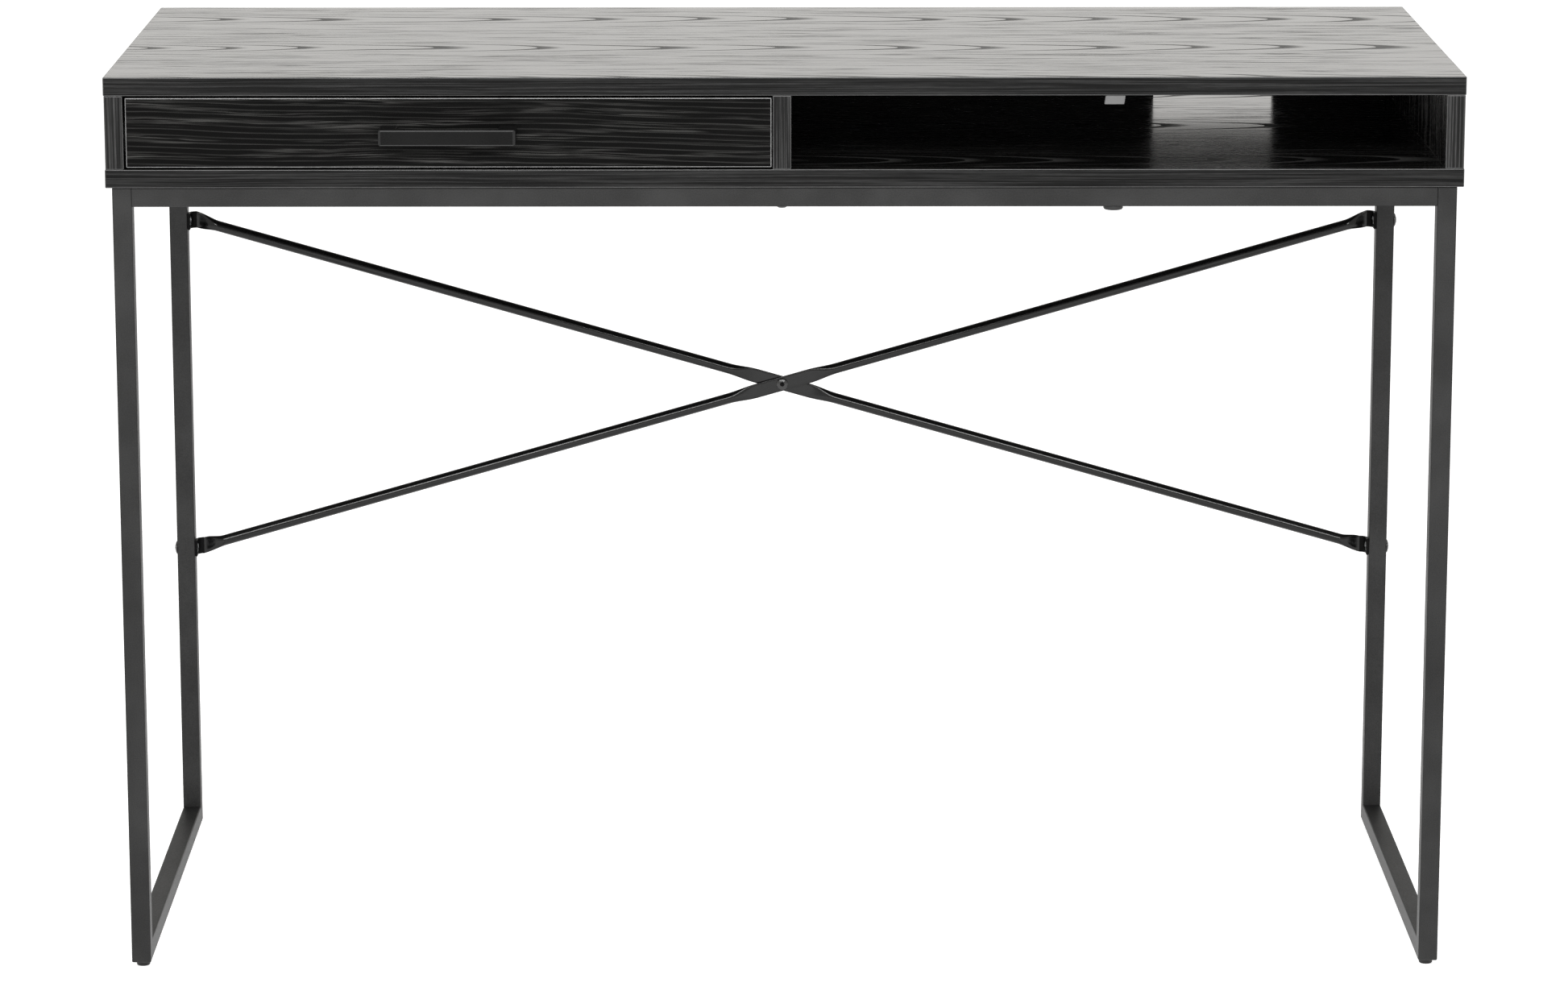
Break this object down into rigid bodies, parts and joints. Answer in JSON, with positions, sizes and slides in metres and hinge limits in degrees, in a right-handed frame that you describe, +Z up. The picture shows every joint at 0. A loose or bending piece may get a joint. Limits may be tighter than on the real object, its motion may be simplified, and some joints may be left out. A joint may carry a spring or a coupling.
{
  "type": "writing desk",
  "caption": "Black wood-grain writing desk with a drawer on roller runners beside an open compartment, on a square-tube steel frame with sled legs and a rear cross brace.",
  "frame": {"origin": "on the floor, under the middle of the whole desk, drawer handle included", "axes": "+X to the right of someone facing the drawer, +Y from the front to the back, +Z up"},
  "size_m": [1.1, 0.48, 0.75],
  "materials": {
    "black_wood": "black wood-grain melamine, satin with open grain lines",
    "drawer_board": "plain black foil on thin board",
    "powder_coat": "matt fine-textured black powder coat",
    "brace_black": "smooth satin black paint",
    "handle_black": "satin black lacquer",
    "runner_black": "black epoxy-coated sheet steel",
    "zinc": "bright zinc-plated steel",
    "black_steel": "black-plated steel",
    "black_plastic": "matt moulded black plastic",
    "roller_white": "white nylon",
    "grey_plastic": "mid-grey moulded plastic",
    "beech": "raw fluted beech"
  },
  "bodies": {
    "desk": {"desktop_top": "black_wood", "bottom_panel": "black_wood", "left_side_panel": "black_wood", "right_side_panel": "black_wood", "centre_divider": "black_wood", "back_panel": "black_wood", "side_frame_left": "powder_coat", "side_frame_right": "powder_coat", "front_rail": "powder_coat", "rear_rail": "powder_coat", "brace_front": "brace_black", "brace_rear": "brace_black", "crossing_bolt": "black_steel", "crossing_nut": "black_steel", "brace_bolt_left_lower": "black_steel", "brace_bolt_right_upper": "black_steel", "brace_bolt_right_lower": "black_steel", "foot_left_front": "black_plastic", "foot_left_rear": "black_plastic", "foot_right_front": "black_plastic", "foot_right_rear": "black_plastic", "frame_screw_left_front": "black_steel", "frame_screw_left_rear": "black_steel", "frame_screw_right_front": "black_steel", "frame_screw_right_rear": "black_steel", "front_rail_screw": "black_steel", "rear_rail_screw": "black_steel", "rail_pad": "black_plastic", "underside_clip": "grey_plastic", "confirmat_screw_left_front": "zinc", "confirmat_screw_left_rear": "zinc", "confirmat_screw_right_front": "zinc", "confirmat_screw_right_rear": "zinc", "confirmat_screw_divider": "zinc", "dowel_left_front": "beech", "dowel_left_rear": "beech", "dowel_right_front": "beech", "dowel_right_rear": "beech", "cabinet_runner_left": "runner_black", "cabinet_runner_right": "runner_black", "cabinet_axle_left": "zinc", "cabinet_axle_right": "zinc"},
    "drawer": {"drawer_front": "black_wood", "drawer_left_side": "drawer_board", "drawer_right_side": "drawer_board", "drawer_back": "drawer_board", "drawer_bottom": "drawer_board", "drawer_handle": "handle_black", "handle_screw_left": "zinc", "handle_screw_right": "zinc", "drawer_runner_left": "runner_black", "drawer_runner_right": "runner_black", "drawer_axle_left": "zinc", "drawer_axle_right": "zinc"},
    "cabinet_roller_left": {"cabinet_roller_left": "roller_white"},
    "cabinet_roller_right": {"cabinet_roller_right": "roller_white"},
    "drawer_roller_left": {"drawer_roller_left": "roller_white"},
    "drawer_roller_right": {"drawer_roller_right": "roller_white"}
  },
  "joints": [
    {"name": "drawer_slide", "type": "slide", "parent": "desk", "child": "drawer", "axis": [0, -1, 0], "range_m": [0, 0.27]},
    {"name": "cabinet_roller_left_spin", "type": "hinge", "parent": "desk", "child": "cabinet_roller_left", "pos_m": [-0.5294, -0.18, 0.6984], "axis": [1, 0, 0], "continuous": true},
    {"name": "cabinet_roller_right_spin", "type": "hinge", "parent": "desk", "child": "cabinet_roller_right", "pos_m": [-0.0151, -0.18, 0.6984], "axis": [1, 0, 0], "continuous": true},
    {"name": "drawer_roller_left_spin", "type": "hinge", "parent": "drawer", "child": "drawer_roller_left", "pos_m": [-0.5283, 0.143, 0.6982], "axis": [1, 0, 0], "continuous": true},
    {"name": "drawer_roller_right_spin", "type": "hinge", "parent": "drawer", "child": "drawer_roller_right", "pos_m": [-0.0162, 0.143, 0.6982], "axis": [1, 0, 0], "continuous": true}
  ],
  "couplings": [
    {"joint": "cabinet_roller_left_spin", "follows": "drawer_slide", "rad_per_m": 114.94},
    {"joint": "cabinet_roller_right_spin", "follows": "drawer_slide", "rad_per_m": 114.94},
    {"joint": "drawer_roller_left_spin", "follows": "drawer_slide", "rad_per_m": 114.94},
    {"joint": "drawer_roller_right_spin", "follows": "drawer_slide", "rad_per_m": 114.94}
  ]
}
